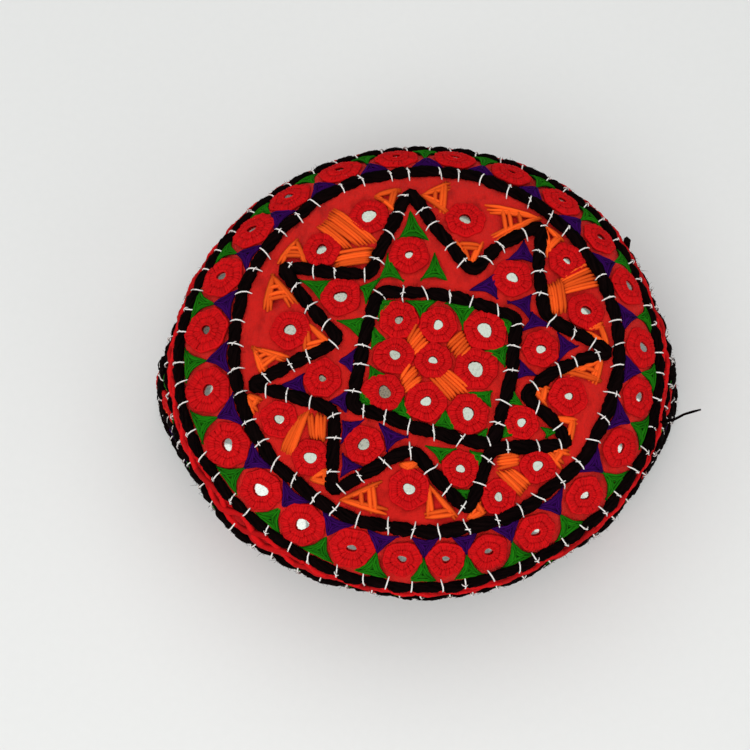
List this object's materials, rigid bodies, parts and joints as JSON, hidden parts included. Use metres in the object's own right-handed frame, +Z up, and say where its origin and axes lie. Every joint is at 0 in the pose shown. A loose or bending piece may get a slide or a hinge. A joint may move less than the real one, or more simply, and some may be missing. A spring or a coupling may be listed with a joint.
{
  "type": "sindhi topi",
  "caption": "Soft domed cotton cap with a flat round top, a forehead arch, mirror rosettes in rings of thread, and thick cords stitched on in a star, rings and a zigzag.",
  "frame": {"origin": "middle of the cap's box, on the surface that its hem stands on", "axes": "+Z up out of the middle of the top, -Y towards the forehead arch, +X to the right as the picture shows the top"},
  "size_m": [0.221, 0.1894, 0.0832],
  "materials": {
    "red_cotton": "matt woven cotton",
    "red_thread": "soft stitched thread",
    "black_yarn": "matt wool-like yarn"
  },
  "bodies": {
    "root": {"crown": "red_cotton", "side_band": "red_cotton", "seam_strip": "red_cotton", "inner_ring_cord": "black_yarn", "rim_cord": "black_yarn", "side_cord": "black_yarn", "hem_cord": "black_yarn", "star_cord": "black_yarn", "square_cord": "black_yarn", "zigzag_cord": "black_yarn", "square_rosette_01": "red_thread", "square_rosette_02": "red_thread", "square_rosette_03": "red_thread", "square_rosette_04": "red_thread", "square_rosette_05": "red_thread", "square_rosette_06": "red_thread", "square_rosette_07": "red_thread", "square_rosette_08": "red_thread", "square_rosette_09": "red_thread", "star_rosette_01": "red_thread", "star_rosette_02": "red_thread", "star_rosette_03": "red_thread", "star_rosette_04": "red_thread", "star_rosette_05": "red_thread", "star_rosette_06": "red_thread", "star_rosette_07": "red_thread", "star_rosette_08": "red_thread", "outer_rosette_01": "red_thread", "outer_rosette_02": "red_thread", "outer_rosette_03": "red_thread", "outer_rosette_04": "red_thread", "outer_rosette_05": "red_thread", "outer_rosette_06": "red_thread", "outer_rosette_07": "red_thread", "outer_rosette_08": "red_thread", "outer_rosette_09": "red_thread", "outer_rosette_10": "red_thread", "outer_rosette_11": "red_thread", "outer_rosette_12": "red_thread", "shoulder_rosettes": "red_thread", "wall_rosettes": "red_thread"}
  },
  "joints": []
}
